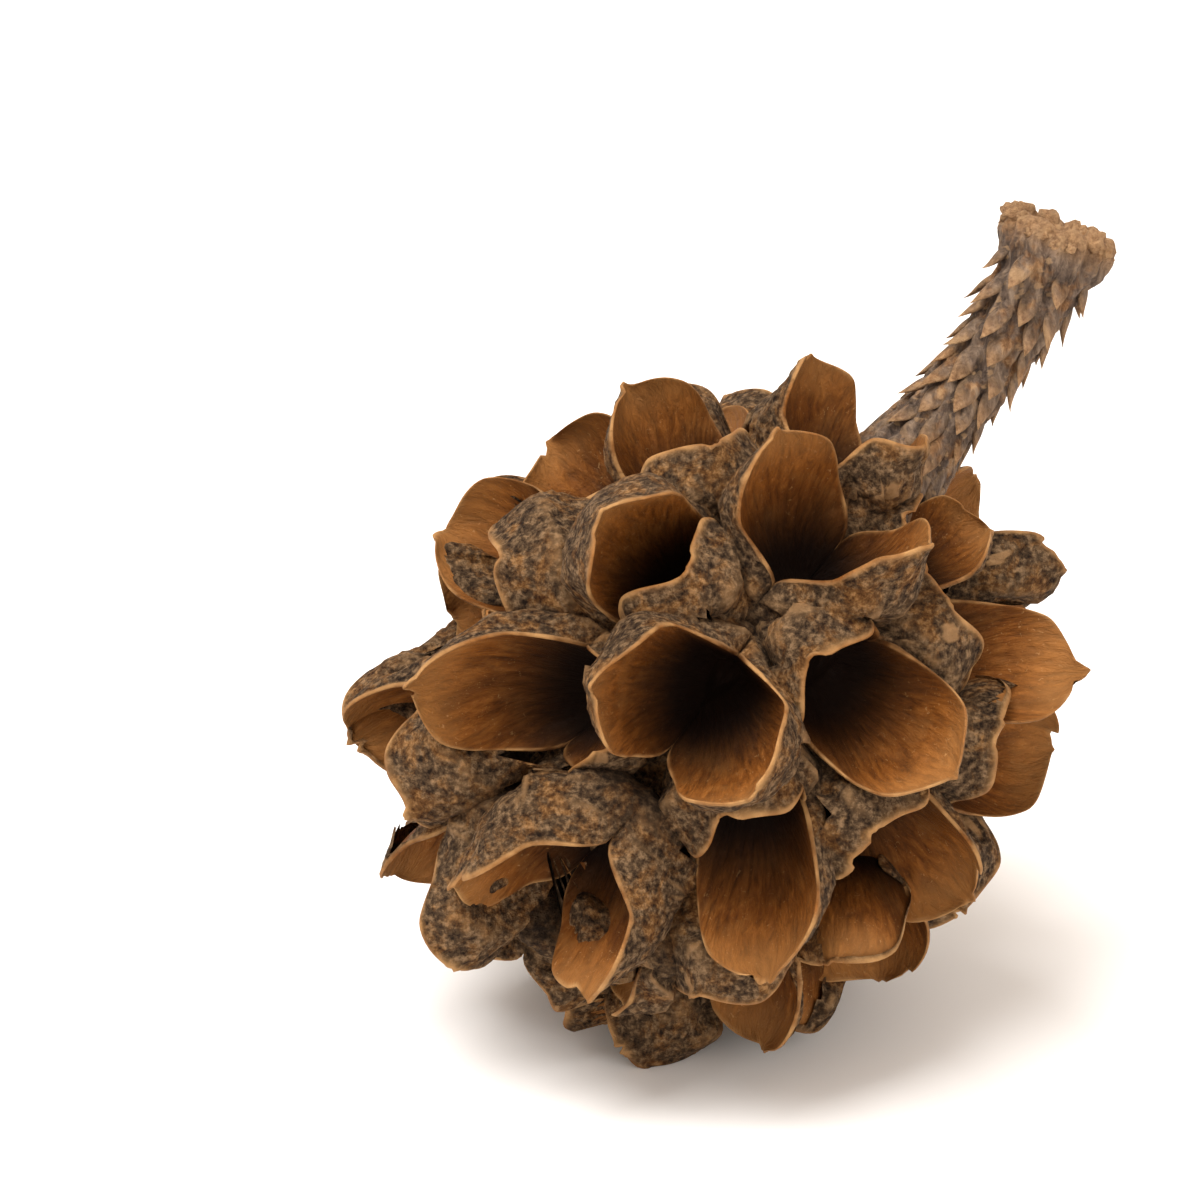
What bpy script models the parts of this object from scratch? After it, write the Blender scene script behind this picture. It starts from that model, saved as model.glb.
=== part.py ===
"""A casuarina cone: a round woody head of gaping seed valves on a toothed stalk.

The head lies on the tips of its lower valves, with the stalk rising to the right.
Lengths are in millimetres and angles in degrees until a mesh is made, which is in metres.
"""

import math
import random

import bmesh
import bpy
from mathutils import Matrix, Vector

MM = 0.001

# Where the head is, and how it leans
HEAD_CENTRE = Vector((-0.385, 0.335, 9.3))
AXIS_RISE = 48.9
AXIS_BEARING = 21.6
FRONT = Vector((0.0, -0.921, 0.391))

# The head's core, which the fruits grow from, and the neck that carries the stalk
CORE_HALF_WIDTH = 5.4
CORE_HALF_LENGTH = 7.3
CORE_SUBDIVISIONS = 2
NECK_REACH = 8.0
NECK_ROOT_RADIUS = 2.6
NECK_END_RADIUS = 1.4
NECK_ROOT = 5.5
NECK_SIDES = 8

# The fruits stand in whorls round the axis, each whorl half a place on from the last
FRUITS_PER_WHORL = 7
FRUITS_IN_END_WHORLS = {-4: 3, -3: 5, 3: 4}
WHORLS = range(-4, 4)
WHORL_STEP = 20.2
WHORL_ZERO = 4.0
PLACE_ZERO = -5.0
END_SHRINK = 0.26
MOUTH_HALF_WIDTH = 6.95
MOUTH_HALF_LENGTH = 8.4
SEED = 3

# How the fruits point away from the stalk, and how far their valves gape
LEAN_ZERO = 24.0
LEAN_STEP = 9.0
LEAST_LEAN = 3.0
EVEN_GAPES = (29.0, 36.0)
WIDE_GAPES = (38.0, 50.0)
STEEP_GAPES = (10.0, 22.0)
STEEP_SHARE = 0.6
STEEP_LENGTH = 0.74
MOST_TWIST = 14.0

# One valve, a woody spoon whose outline narrows to its foot and its tip
VALVE_LENGTH = 5.1
VALVE_WIDTH = 3.8
VALVE_SAG = 0.62
VALVE_DEPTH = 1.0
VALVE_WIDEST = 0.6
VALVE_FOOT_SHARE = 0.5
VALVE_TIP_SHARE = 0.3
FOOT_DEPTH = 1.6
FOOT_APART = 0.3

# The fruit's wall: thin at the rim and thick at half height, most so where a valve is steep
RIM_THICK = 0.6
WALL_THICK = 0.95
STEEP_WALL_THICK = 1.3
ROOT_DEPTH = 2.3
ROOT_HALF_APART = 1.75
ROOT_HALF_WIDE = 1.6

# What stands in another fruit's hollow, up to this height, is sunk this far beneath its inner face
SUNK_BY = 0.3
HOLLOW_HEIGHT = 2.2

# A valve behind that crosses another's hollow, at one of these shares and sides, is shortened
CROSSING_SPOTS = ((0.62, -1.0), (0.98, -0.75), (0.98, 0.0), (0.98, 0.75), (0.62, 1.0))
SHORTENED = 0.9
LEAST_LENGTH = 0.82

# Round the rim of one valve: the share of its length, the side of it, then that side at half
# height and at the foot. Between two valves stands a notch.
RIM_STATIONS = (
    (0.62, -1.0, -0.9, -0.7),
    (0.98, -0.75, -0.35, -0.25),
    (0.98, 0.75, 0.35, 0.25),
    (0.62, 1.0, 0.9, 0.7),
)
NOTCH_SHARE = 0.22

# The stalk's middle line runs along the axis, then bends upright
STALK_GAP = 0.3
STALK_POINTS = 11
STALK_SIDES = 16
STALK_RIDGE = 0.09
STALK_RADII = ((0.0, 1.5), (0.25, 1.1), (0.55, 0.98), (0.8, 1.15), (0.95, 1.55), (1.0, 1.55))
STALK_LIFT = 2.0
STALK_BEND = Vector((3.75, 1.1, 4.1))
STALK_END = Vector((4.72, 1.8, 6.75))

# Scale-leaf teeth in whorls along the stalk, pointing at the head
TOOTH_WHORLS = 9
TEETH_PER_WHORL = 7
TOOTH_LENGTH = 1.1
TOOTH_RADIUS = 0.26
TOOTH_LEAN = 28.0
KNOBS = 9
KNOB_RADIUS = 0.42

# The fruits in front, by whorl and place: the shift in latitude and longitude, then the left
# and the right valve, each with its lean, its twist, its gape and its length as a share
FRUITS_IN_FRONT = {
    (0, 0): (0.6, 0.6, (17, 19, 26, 1.01), (13, -16, 30, 1.07)),
    (2, 0): (-0.4, 0.4, (5, -20, 36, 1.05), (-12, -4, 27, 1.01)),
    (1, 0): (1.3, -3.1, (19, -2, 10, 0.63), (17, -7, 42, 1.03)),
    (1, -1): (-3.8, -0.1, (11, 2, 6, 0.99), (5, 1, 7, 0.61)),
    (-1, 0): (3.3, 0.7, (14, -14, 6, 0.51), (24, -19, 27, 1.07)),
    (-2, 0): (-5, 2.3, (29, 10, 29, 1.05), (16, -23, 29, 1.09)),
    (-1, -1): (0.2, 1.3, (19, 7, 29, 1.09), (23, 2, 26, 0.5)),
    (2, -1): (-2.7, 1.4, (1, 17, 28, 0.85), (-2, 2, 12, 0.63)),
    (2, 1): (2.6, -3.2, (-29, 48, 17, 0.62), (5, 8, 49, 1.09)),
    (0, 1): (-2.1, 1.5, (8, -7, 12, 0.66), (31, 19, 51, 0.91)),
    (0, -1): (1.3, -2.7, (12, 22, 44, 0.93), (41, 58, 10, 0.75)),
    (-2, -1): (-0.4, -1.6, (35, -7, 35, 1.06), (35, 3, 14, 0.95)),
    (-3, -1): (-1.1, -1, (44, -7, 30, 1.07), (38, 8, 24, 1.13)),
    (3, -1): (2.7, 22.2, (0, -7, 33, 1.03), (-3, 2, 26, 0.96)),
    (3, 0): (1, -6.5, (11, 5, 24, 0.57), (-11, 13, 21, 0.7)),
    (-2, 1): (0.9, 2.3, (30, -9, 16, 0.8), (41, 4, 35, 0.98)),
    (1, 1): (3.3, -0.3, (-6, -16, 24, 0.74), (1, 17, 37, 0.92)),
    (-2, -2): (0, 0, (40, 0, 45, 1.1), (40, 0, 45, 1.1)),
    (-1, 1): (0, 0, (30, 0, 36, 0.85), (30, 0, 30, 0.8)),
    (0, 2): (0, 0, (24, 0, 22, 0.8), (24, 0, 28, 0.8)),
    (-1, 2): (0, 0, (30, 0, 32, 0.82), (30, 0, 26, 0.76)),
    (-2, 2): (0, 0, (36, 0, 30, 0.8), (36, 0, 34, 0.85)),
}

WOOD = ("cone_wood", (0.24, 0.125, 0.055), 0.75)
BARK = ("stalk_bark", (0.22, 0.145, 0.09), 0.85)


def clear_scene():
    """Removes every object, and the meshes that they leave behind."""
    for thing in list(bpy.data.objects):
        bpy.data.objects.remove(thing)
    for mesh in list(bpy.data.meshes):
        bpy.data.meshes.remove(mesh)


def cone_axes():
    """The unit vectors of the head: along the axis to the stalk, towards the front, and across."""
    rise, bearing = math.radians(AXIS_RISE), math.radians(AXIS_BEARING)
    along = Vector((math.cos(rise) * math.cos(bearing), math.cos(rise) * math.sin(bearing), math.sin(rise)))
    front = (FRONT - FRONT.dot(along) * along).normalized()
    return along, front, along.cross(front)


def body_radius(direction, along, half_width, half_length):
    """How far the egg-shaped body reaches in a direction from its centre."""
    rise = direction.dot(along)
    return 1.0 / math.sqrt((rise / half_length) ** 2 + (1.0 - rise * rise) / half_width**2)


def drawn_habit(whorl, draw):
    """The shifts and the two valves of a fruit that the picture doesn't show."""
    lean = max(LEAST_LEAN, LEAN_ZERO - LEAN_STEP * whorl) + draw.uniform(-5.0, 5.0)
    lengths = [draw.uniform(0.92, 1.1) for _ in range(2)]
    gapes = [draw.uniform(*EVEN_GAPES) for _ in range(2)]
    if draw.random() < STEEP_SHARE:
        steep = draw.randrange(2)
        lengths[steep] *= STEEP_LENGTH
        gapes[steep], gapes[1 - steep] = draw.uniform(*STEEP_GAPES), draw.uniform(*WIDE_GAPES)
    twists = [draw.uniform(-MOST_TWIST, MOST_TWIST) for _ in range(2)]
    valves = [(lean, *habit) for habit in zip(twists, gapes, lengths)]
    return draw.uniform(-2.0, 2.0), draw.uniform(-3.0, 3.0), *valves


def valve_habit(side, out, aside, away, habit):
    """One valve: the way that it rises, the way that its hollow face looks, and its frame."""
    lean, twist, gape = (math.radians(angle) for angle in habit[:3])
    pointing = math.cos(lean) * out + math.sin(lean) * away
    opening = math.cos(twist) * aside + math.sin(twist) * pointing.cross(aside)
    return {
        "side": side,
        "upward": math.cos(gape) * pointing + side * math.sin(gape) * opening,
        "inward": math.sin(gape) * pointing - side * math.cos(gape) * opening,
        "across": opening.cross(pointing),
        "pointing": pointing,
        "opening": opening,
        "gape": habit[2],
        "length": habit[3],
    }


def fruit_places():
    """Every fruit as a dictionary: where its mouth is, its directions, its size and its two valves."""
    along, front, across = cone_axes()
    draw = random.Random(SEED)
    fruits = []
    for whorl in WHORLS:
        count = FRUITS_IN_END_WHORLS.get(whorl, FRUITS_PER_WHORL)
        for place in range(count):
            habit = drawn_habit(whorl, draw)
            spot = (whorl, place if 2 * place <= count else place - count)
            habit = FRUITS_IN_FRONT.get(spot, habit)
            latitude = math.radians(WHORL_ZERO + WHORL_STEP * whorl + habit[0])
            longitude = math.radians(PLACE_ZERO + 360.0 / count * (place + 0.5 * (whorl % 2)) + habit[1])
            level = math.cos(longitude) * front + math.sin(longitude) * across
            out = math.cos(latitude) * level + math.sin(latitude) * along
            aside = along.cross(out).normalized()
            away = aside.cross(out)
            left, right = (valve_habit(side, out, aside, away, habit[2 + (side > 0)]) for side in (-1, 1))
            pointing = (left["pointing"] + right["pointing"]).normalized()
            opening = left["opening"] + right["opening"]
            fruits.append(
                {
                    "mouth": HEAD_CENTRE + out * body_radius(out, along, MOUTH_HALF_WIDTH, MOUTH_HALF_LENGTH),
                    "out": pointing,
                    "aside": (opening - opening.dot(pointing) * pointing).normalized(),
                    "size": 1.0 - END_SHRINK * abs(math.sin(latitude)) ** 3,
                    "valves": (left, right),
                    "shown": spot in FRUITS_IN_FRONT,
                }
            )
    shorten_crossing(fruits)
    return fruits


def valve_half_width(share):
    """Half of a valve's width at a share of its length, narrowing to the foot and the tip."""
    half = 0.5 * VALVE_WIDTH
    if share < VALVE_WIDEST:
        return half * (1.0 - (1.0 - VALVE_FOOT_SHARE) * ((VALVE_WIDEST - share) / VALVE_WIDEST) ** 2)
    beyond = (share - VALVE_WIDEST) / (1.0 - VALVE_WIDEST)
    return half * (VALVE_TIP_SHARE + (1.0 - VALVE_TIP_SHARE) * math.sqrt(max(0.0, 1.0 - beyond**2)))


def valve_foot(fruit, valve):
    """Where a valve's inner face starts, from the fruit's mouth."""
    return valve["side"] * fruit["aside"] * FOOT_APART - fruit["out"] * FOOT_DEPTH


def valve_bow(rise, t):
    """How far the hollow inner face stands off its flat, at a share of its length and width."""
    cup = VALVE_DEPTH * (0.2 + 2.4 * rise * (1.25 - rise))
    return cup * t * t - VALVE_SAG * 4.0 * rise * (1.0 - rise)


def inner_face(fruit, valve, share, t):
    """A point of a valve's hollow inner face: share runs from foot to tip, t from edge to edge."""
    rise = share * valve["length"]
    across = valve["across"] * valve_half_width(share) * t
    risen = valve["upward"] * VALVE_LENGTH * rise
    bowed = valve["inward"] * valve_bow(rise, t)
    return fruit["mouth"] + (valve_foot(fruit, valve) + risen + across + bowed) * fruit["size"]


def height_over(fruit, valve, point):
    """How far a point stands over a valve's inner face, and where on the valve it is."""
    local = (point - fruit["mouth"]) / fruit["size"] - valve_foot(fruit, valve)
    rise = local.dot(valve["upward"]) / VALVE_LENGTH
    share = rise / valve["length"]
    t = local.dot(valve["across"]) / valve_half_width(max(0.0, min(1.0, share)))
    bow = valve_bow(max(0.0, min(1.1, rise)), max(-1.1, min(1.1, t)))
    return local.dot(valve["inward"]) - bow, share, t


def hollow_at(fruit, point):
    """The valve that a point in a fruit's hollow stands over, and how high, or None outside it."""
    left, right = fruit["valves"]
    for valve, partner in ((left, right), (right, left)):
        height, share, t = height_over(fruit, valve, point)
        on_valve = abs(t) < 1.1 and -0.1 < share < 1.0
        if on_valve and -SUNK_BY < height < HOLLOW_HEIGHT and height_over(fruit, partner, point)[0] > -SUNK_BY:
            return valve, height
    return None


def sunk(point, fruits, own=None):
    """The point, moved beneath the inner face where it stands in the hollow of another fruit."""
    for fruit in fruits:
        found = None if fruit is own else hollow_at(fruit, point)
        if found:
            valve, height = found
            point = point - valve["inward"] * (height + SUNK_BY) * fruit["size"]
    return point


def shorten_crossing(fruits):
    """Shortens the valves behind, which the picture doesn't show, where they cross another's hollow."""
    for fruit in fruits:
        others = [other for other in fruits if other is not fruit]
        for valve in fruit["valves"]:
            while not fruit["shown"] and valve["length"] > LEAST_LENGTH:
                rim = [inner_face(fruit, valve, share, t) for share, t in CROSSING_SPOTS]
                if not any(hollow_at(other, point) for other in others for point in rim):
                    break
                valve["length"] *= SHORTENED


def notch_face(fruit, share, t):
    """A point between the edges of the two valves."""
    left, right = fruit["valves"]
    return 0.5 * (inner_face(fruit, left, share, t) + inner_face(fruit, right, share, t))


def wall_thickness(valve):
    steep = max(0.0, 1.0 - valve["gape"] / WIDE_GAPES[0])
    return WALL_THICK + (STEEP_WALL_THICK - WALL_THICK) * steep


def fruit_columns(fruit, fruits):
    """Round a fruit, the points of each column: foot, half height and rim inside, then rim, half
    height and root outside."""
    out, aside, size = fruit["out"], fruit["aside"], fruit["size"]
    wide = aside.cross(out)
    columns = []

    def add_column(foot, middle, rim, outward, thick, root):
        below = fruit["mouth"] - out * ROOT_DEPTH * size + root * size
        back = sunk(middle + outward * thick * size, fruits, fruit)
        columns.append([foot, middle, rim, rim + outward * RIM_THICK, back, sunk(below, fruits, fruit)])

    for valve in reversed(fruit["valves"]):
        side = valve["side"]
        stations = RIM_STATIONS if side > 0 else RIM_STATIONS[::-1]
        for share, t, middle_t, foot_t in stations:
            foot = inner_face(fruit, valve, 0.0, foot_t)
            middle = inner_face(fruit, valve, 0.5 * share, middle_t)
            rim = inner_face(fruit, valve, share, t)
            outward = (0.45 * t * valve["across"] - valve["inward"]).normalized()
            root = side * aside * ROOT_HALF_APART * (1.0 - 0.5 * foot_t * foot_t) + wide * foot_t * ROOT_HALF_WIDE
            add_column(foot, middle, rim, outward, wall_thickness(valve), root)
        t = float(side)
        foot, middle, rim = (notch_face(fruit, share, t) for share in (0.0, 0.5 * NOTCH_SHARE, NOTCH_SHARE))
        add_column(foot, middle, rim, wide * t, 0.8 * WALL_THICK, wide * t * ROOT_HALF_WIDE)
    return columns


def new_object(name, mesh, collection, material=None):
    """An object for a mesh, in a collection."""
    made = bpy.data.objects.new(name, mesh)
    collection.objects.link(made)
    if material is not None:
        mesh.materials.append(material)
    return made


def new_collection(name, hidden=False):
    made = bpy.data.collections.new(name)
    bpy.context.scene.collection.children.link(made)
    made.hide_render = hidden
    return made


def wood_material(name, colour, roughness):
    made = bpy.data.materials.new(name)
    made.use_nodes = True
    shader = made.node_tree.nodes["Principled BSDF"]
    shader.inputs["Base Color"].default_value = (*colour, 1.0)
    shader.inputs["Roughness"].default_value = roughness
    shader.inputs["Metallic"].default_value = 0.0
    made.diffuse_color = (*colour, 1.0)
    return made


def middle_of(points):
    return sum(points, Vector()) / len(points)


def fruit_object(fruit, fruits, collection):
    """A fruit: a ball pushed into two hollow valves on one thick wall, its root inside the core."""
    columns = fruit_columns(fruit, fruits)
    rings = len(columns[0]) + 1
    form = bmesh.new()
    bmesh.ops.create_uvsphere(form, u_segments=len(columns), v_segments=rings, radius=1.0)
    for corner in form.verts:
        ring = round(math.acos(max(-1.0, min(1.0, corner.co.z))) / math.pi * rings)
        place = round(math.atan2(corner.co.y, corner.co.x) / (2.0 * math.pi) * len(columns))
        if ring == 0:
            point = middle_of([column[0] for column in columns])
        elif ring == rings:
            point = middle_of([column[-1] for column in columns])
        else:
            point = columns[place % len(columns)][ring - 1]
        corner.co = point * MM
    bmesh.ops.triangulate(form, faces=form.faces)
    bmesh.ops.recalc_face_normals(form, faces=form.faces)
    mesh = bpy.data.meshes.new("fruit")
    form.to_mesh(mesh)
    form.free()
    return new_object("fruit", mesh, collection)


def head_body(fruits, collection):
    """The head's egg-shaped body, clear of the hollows."""
    along, front, across = cone_axes()
    mesh = bpy.data.meshes.new("cone_head")
    form = bmesh.new()
    bmesh.ops.create_icosphere(form, subdivisions=CORE_SUBDIVISIONS, radius=1.0)
    for corner in form.verts:
        x, y, z = corner.co
        offset = (front * x + across * y) * CORE_HALF_WIDTH + along * z * CORE_HALF_LENGTH
        corner.co = sunk(HEAD_CENTRE + offset, fruits) * MM
    form.to_mesh(mesh)
    form.free()
    return new_object("cone_head", mesh, collection)


def neck_object(collection):
    """The tapering neck that carries the stalk."""
    along, _, _ = cone_axes()
    mesh = bpy.data.meshes.new("neck")
    form = bmesh.new()
    bmesh.ops.create_cone(
        form,
        cap_ends=True,
        segments=NECK_SIDES,
        radius1=NECK_ROOT_RADIUS * MM,
        radius2=NECK_END_RADIUS * MM,
        depth=(NECK_REACH - NECK_ROOT) * MM,
    )
    middle = HEAD_CENTRE + along * 0.5 * (NECK_REACH + NECK_ROOT)
    turn = Vector((0.0, 0.0, 1.0)).rotation_difference(along).to_matrix().to_4x4()
    bmesh.ops.transform(form, matrix=Matrix.Translation(middle * MM) @ turn, verts=form.verts)
    form.to_mesh(mesh)
    form.free()
    return new_object("neck", mesh, collection)


def ground_cutter(collection):
    """Everything below the surface that the cone lies on."""
    mesh = bpy.data.meshes.new("ground")
    form = bmesh.new()
    bmesh.ops.create_cube(form, size=40.0 * MM)
    bmesh.ops.translate(form, vec=(0.0, 0.0, -20.0 * MM), verts=form.verts)
    form.to_mesh(mesh)
    form.free()
    return new_object("ground", mesh, collection)


def add_boolean(target, name, operation, collection):
    cut = target.modifiers.new(name, "BOOLEAN")
    cut.operation = operation
    cut.operand_type = "COLLECTION"
    cut.collection = collection
    cut.solver = "MANIFOLD"


def apply_modifiers(target):
    """Makes the evaluated mesh the object's own."""
    bpy.context.view_layer.update()
    graph = bpy.context.evaluated_depsgraph_get()
    mesh = bpy.data.meshes.new_from_object(target.evaluated_get(graph))
    target.modifiers.clear()
    target.data = mesh


def drop_inner_shells(target):
    """Fills the pockets that valves close off: only the mesh's largest shell is kept."""
    form = bmesh.new()
    form.from_mesh(target.data)
    bmesh.ops.triangulate(form, faces=form.faces)
    left = set(form.faces)
    shells = []
    while left:
        shell, edge_of_shell = set(), [left.pop()]
        while edge_of_shell:
            face = edge_of_shell.pop()
            shell.add(face)
            for edge in face.edges:
                for other in edge.link_faces:
                    if len(edge.link_faces) == 2 and other in left:
                        left.remove(other)
                        edge_of_shell.append(other)
        shells.append(shell)
    largest = max(shells, key=len)
    inner = [face for face in form.faces if face not in largest]
    bmesh.ops.delete(form, geom=inner, context="FACES")
    form.to_mesh(target.data)
    form.free()


def discard(collection):
    """Removes a helper collection with its objects."""
    for thing in list(collection.objects):
        bpy.data.objects.remove(thing)
    bpy.data.collections.remove(collection)


def build_head(collection, material):
    fruits = fruit_places()
    head = head_body(fruits, collection)
    growths, ground = new_collection("growths"), new_collection("ground")
    for fruit in fruits:
        fruit_object(fruit, fruits, growths)
    neck_object(growths)
    ground_cutter(ground)
    add_boolean(head, "join the fruits", "UNION", growths)
    add_boolean(head, "rest on the ground", "DIFFERENCE", ground)
    apply_modifiers(head)
    drop_inner_shells(head)
    for helpers in (growths, ground):
        discard(helpers)
    head.data.materials.clear()
    head.data.materials.append(material)
    return head


def stalk_line(share):
    """The stalk's middle line, a curve from the neck to the broken end."""
    along, _, _ = cone_axes()
    start = HEAD_CENTRE + along * (NECK_REACH + STALK_GAP)
    lift = along * STALK_LIFT
    a, b, c, d = start, start + lift, start + STALK_BEND, start + STALK_END
    rest = 1.0 - share
    return a * rest**3 + b * 3 * rest**2 * share + c * 3 * rest * share**2 + d * share**3


def stalk_radius(share):
    """The stalk's radius, read between the named stations."""
    for (s0, r0), (s1, r1) in zip(STALK_RADII, STALK_RADII[1:]):
        if share <= s1:
            part = (share - s0) / (s1 - s0)
            smooth = part * part * (3.0 - 2.0 * part)
            return r0 + (r1 - r0) * smooth
    return STALK_RADII[-1][1]


def stalk_frame(share):
    """The point, the direction along the stalk and two directions across it."""
    point = stalk_line(share)
    step = 0.01
    ahead = (stalk_line(min(1.0, share + step)) - stalk_line(max(0.0, share - step))).normalized()
    side = ahead.cross(Vector((0.0, 1.0, 0.0))).normalized()
    return point, ahead, side, ahead.cross(side)


def stalk_body(collection):
    """The ridged stalk: a curve with a star-shaped section, made a mesh with its caps welded."""
    section = bpy.data.curves.new("section", "CURVE")
    star = section.splines.new("POLY")
    star.points.add(STALK_SIDES - 1)
    star.use_cyclic_u = True
    for i, point in enumerate(star.points):
        turn = 2.0 * math.pi * i / STALK_SIDES
        reach = (1.0 + (STALK_RIDGE if i % 2 else -STALK_RIDGE)) * MM
        point.co = (reach * math.cos(turn), reach * math.sin(turn), 0.0, 1.0)
    profile = new_object("section", section, collection)
    path = bpy.data.curves.new("stalk_path", "CURVE")
    path.dimensions = "3D"
    path.bevel_mode = "OBJECT"
    path.bevel_object = profile
    path.use_fill_caps = True
    line = path.splines.new("POLY")
    line.points.add(STALK_POINTS - 1)
    for i, point in enumerate(line.points):
        share = i / (STALK_POINTS - 1)
        point.co = (*(stalk_line(share) * MM), 1.0)
        point.radius = stalk_radius(share)
    guide = new_object("stalk_path", path, collection)
    bpy.context.view_layer.update()
    graph = bpy.context.evaluated_depsgraph_get()
    mesh = bpy.data.meshes.new_from_object(guide.evaluated_get(graph))
    form = bmesh.new()
    form.from_mesh(mesh)
    bmesh.ops.remove_doubles(form, verts=form.verts, dist=0.0001 * MM)
    bmesh.ops.recalc_face_normals(form, faces=form.faces)
    form.to_mesh(mesh)
    form.free()
    for helper in (guide, profile):
        bpy.data.objects.remove(helper)
    return new_object("stalk", mesh, collection)


def tooth_object(share, turn, collection):
    """One scale-leaf tooth, lying along the stalk and pointing back at the head."""
    point, ahead, side, over = stalk_frame(share)
    outward = math.cos(turn) * side + math.sin(turn) * over
    lean = math.radians(TOOTH_LEAN)
    pointing = -ahead * math.cos(lean) + outward * math.sin(lean)
    root = point + outward * (stalk_radius(share) - 0.22)
    mesh = bpy.data.meshes.new("tooth")
    form = bmesh.new()
    bmesh.ops.create_cone(
        form,
        cap_ends=True,
        segments=4,
        radius1=TOOTH_RADIUS * MM,
        radius2=0.07 * MM,
        depth=TOOTH_LENGTH * MM,
    )
    turned = Vector((0.0, 0.0, 1.0)).rotation_difference(pointing).to_matrix().to_4x4()
    middle = root + pointing * TOOTH_LENGTH * 0.5
    bmesh.ops.transform(form, matrix=Matrix.Translation(middle * MM) @ turned, verts=form.verts)
    form.to_mesh(mesh)
    form.free()
    return new_object("tooth", mesh, collection)


def knob_object(turn, reach, size, collection):
    """One knob of the torn rim at the stalk's broken end."""
    point, ahead, side, over = stalk_frame(1.0)
    outward = math.cos(turn) * side + math.sin(turn) * over
    mesh = bpy.data.meshes.new("knob")
    form = bmesh.new()
    bmesh.ops.create_uvsphere(form, u_segments=6, v_segments=4, radius=size * MM)
    centre = point + outward * reach - ahead * 0.1
    bmesh.ops.translate(form, vec=centre * MM, verts=form.verts)
    form.to_mesh(mesh)
    form.free()
    return new_object("knob", mesh, collection)


def build_stalk(collection, material):
    draw = random.Random(SEED + 1)
    stalk = stalk_body(collection)
    growths = new_collection("stalk_growths")
    for whorl in range(TOOTH_WHORLS):
        share = 0.2 + 0.66 * whorl / (TOOTH_WHORLS - 1)
        for place in range(TEETH_PER_WHORL):
            turn = 2.0 * math.pi * (place + 0.5 * (whorl % 2) + 0.12 * draw.uniform(-1.0, 1.0)) / TEETH_PER_WHORL
            tooth_object(share + 0.012 * draw.uniform(-1.0, 1.0), turn, growths)
    for place in range(KNOBS):
        turn = 2.0 * math.pi * (place + 0.25 * draw.uniform(-1.0, 1.0)) / KNOBS
        size = KNOB_RADIUS * (1.0 + 0.25 * draw.uniform(-1.0, 1.0))
        knob_object(turn, STALK_RADII[-1][1] * 0.86, size, growths)
    add_boolean(stalk, "join the teeth", "UNION", growths)
    apply_modifiers(stalk)
    discard(growths)
    stalk.data.materials.clear()
    stalk.data.materials.append(material)
    return stalk


def main():
    clear_scene()
    cone = new_collection("casuarina_cone")
    build_head(cone, wood_material(*WOOD))
    build_stalk(cone, wood_material(*BARK))


main()
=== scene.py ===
"""The looks of the casuarina cone: thin gaping valves, a rough core and a toothed stalk in place of
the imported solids, on a pale floor in soft light.

Lengths are in millimetres and angles in degrees until a mesh is made, which is in metres.
"""

import math
import random

import bmesh
import bpy
import numpy as np
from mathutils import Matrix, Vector, noise

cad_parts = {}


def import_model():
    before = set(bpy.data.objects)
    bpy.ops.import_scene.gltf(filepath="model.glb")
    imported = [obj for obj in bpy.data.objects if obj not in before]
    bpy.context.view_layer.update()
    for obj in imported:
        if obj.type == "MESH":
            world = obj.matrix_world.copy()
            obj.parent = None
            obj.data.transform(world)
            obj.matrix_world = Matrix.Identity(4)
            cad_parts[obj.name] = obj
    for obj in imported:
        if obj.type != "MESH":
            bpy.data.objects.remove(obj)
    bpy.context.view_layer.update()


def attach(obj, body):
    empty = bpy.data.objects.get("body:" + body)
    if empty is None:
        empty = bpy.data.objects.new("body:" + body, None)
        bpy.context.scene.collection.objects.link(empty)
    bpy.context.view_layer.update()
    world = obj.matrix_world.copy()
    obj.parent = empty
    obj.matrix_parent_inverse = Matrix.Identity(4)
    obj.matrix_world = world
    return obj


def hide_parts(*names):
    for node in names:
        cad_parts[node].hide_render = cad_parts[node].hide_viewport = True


MM = 0.001

# No point comes nearer to the floor than this
LEAST_HEIGHT = 0.01

# Where the head is, and how it leans, as in the solids
HEAD_CENTRE = np.array([-0.385, 0.335, 9.3])
AXIS_RISE = 48.9
AXIS_BEARING = 21.6
FRONT = np.array([0.0, -0.921, 0.391])

# The core, the neck and the whorls of fruits, as in the solids
CORE_HALF_WIDTH = 5.4
CORE_HALF_LENGTH = 7.3
NECK_REACH = 8.0
FRUITS_PER_WHORL = 7
FRUITS_IN_END_WHORLS = {-4: 3, -3: 5, 3: 4}
WHORLS = range(-4, 4)
WHORL_STEP = 20.2
WHORL_ZERO = 4.0
PLACE_ZERO = -5.0
END_SHRINK = 0.26
MOUTH_HALF_WIDTH = 6.95
MOUTH_HALF_LENGTH = 8.4
SEED = 3

# How the fruits point away from the stalk, and how far their valves gape, as in the solids
LEAN_ZERO = 24.0
LEAN_STEP = 9.0
LEAST_LEAN = 3.0
EVEN_GAPES = (29.0, 36.0)
WIDE_GAPES = (38.0, 50.0)
STEEP_GAPES = (10.0, 22.0)
STEEP_SHARE = 0.6
STEEP_LENGTH = 0.74
MOST_TWIST = 14.0

# One valve, a woody spoon, as in the solids
VALVE_LENGTH = 5.1
VALVE_WIDTH = 3.8
VALVE_SAG = 0.62
VALVE_DEPTH = 1.0
VALVE_WIDEST = 0.6
VALVE_FOOT_SHARE = 0.5
VALVE_TIP_SHARE = 0.3
FOOT_DEPTH = 1.6
FOOT_APART = 0.3
WALL_THICK = 0.95
STEEP_WALL_THICK = 1.3
ROOT_DEPTH = 2.3
ROOT_HALF_APART = 1.75
ROOT_HALF_WIDE = 1.6

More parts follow.
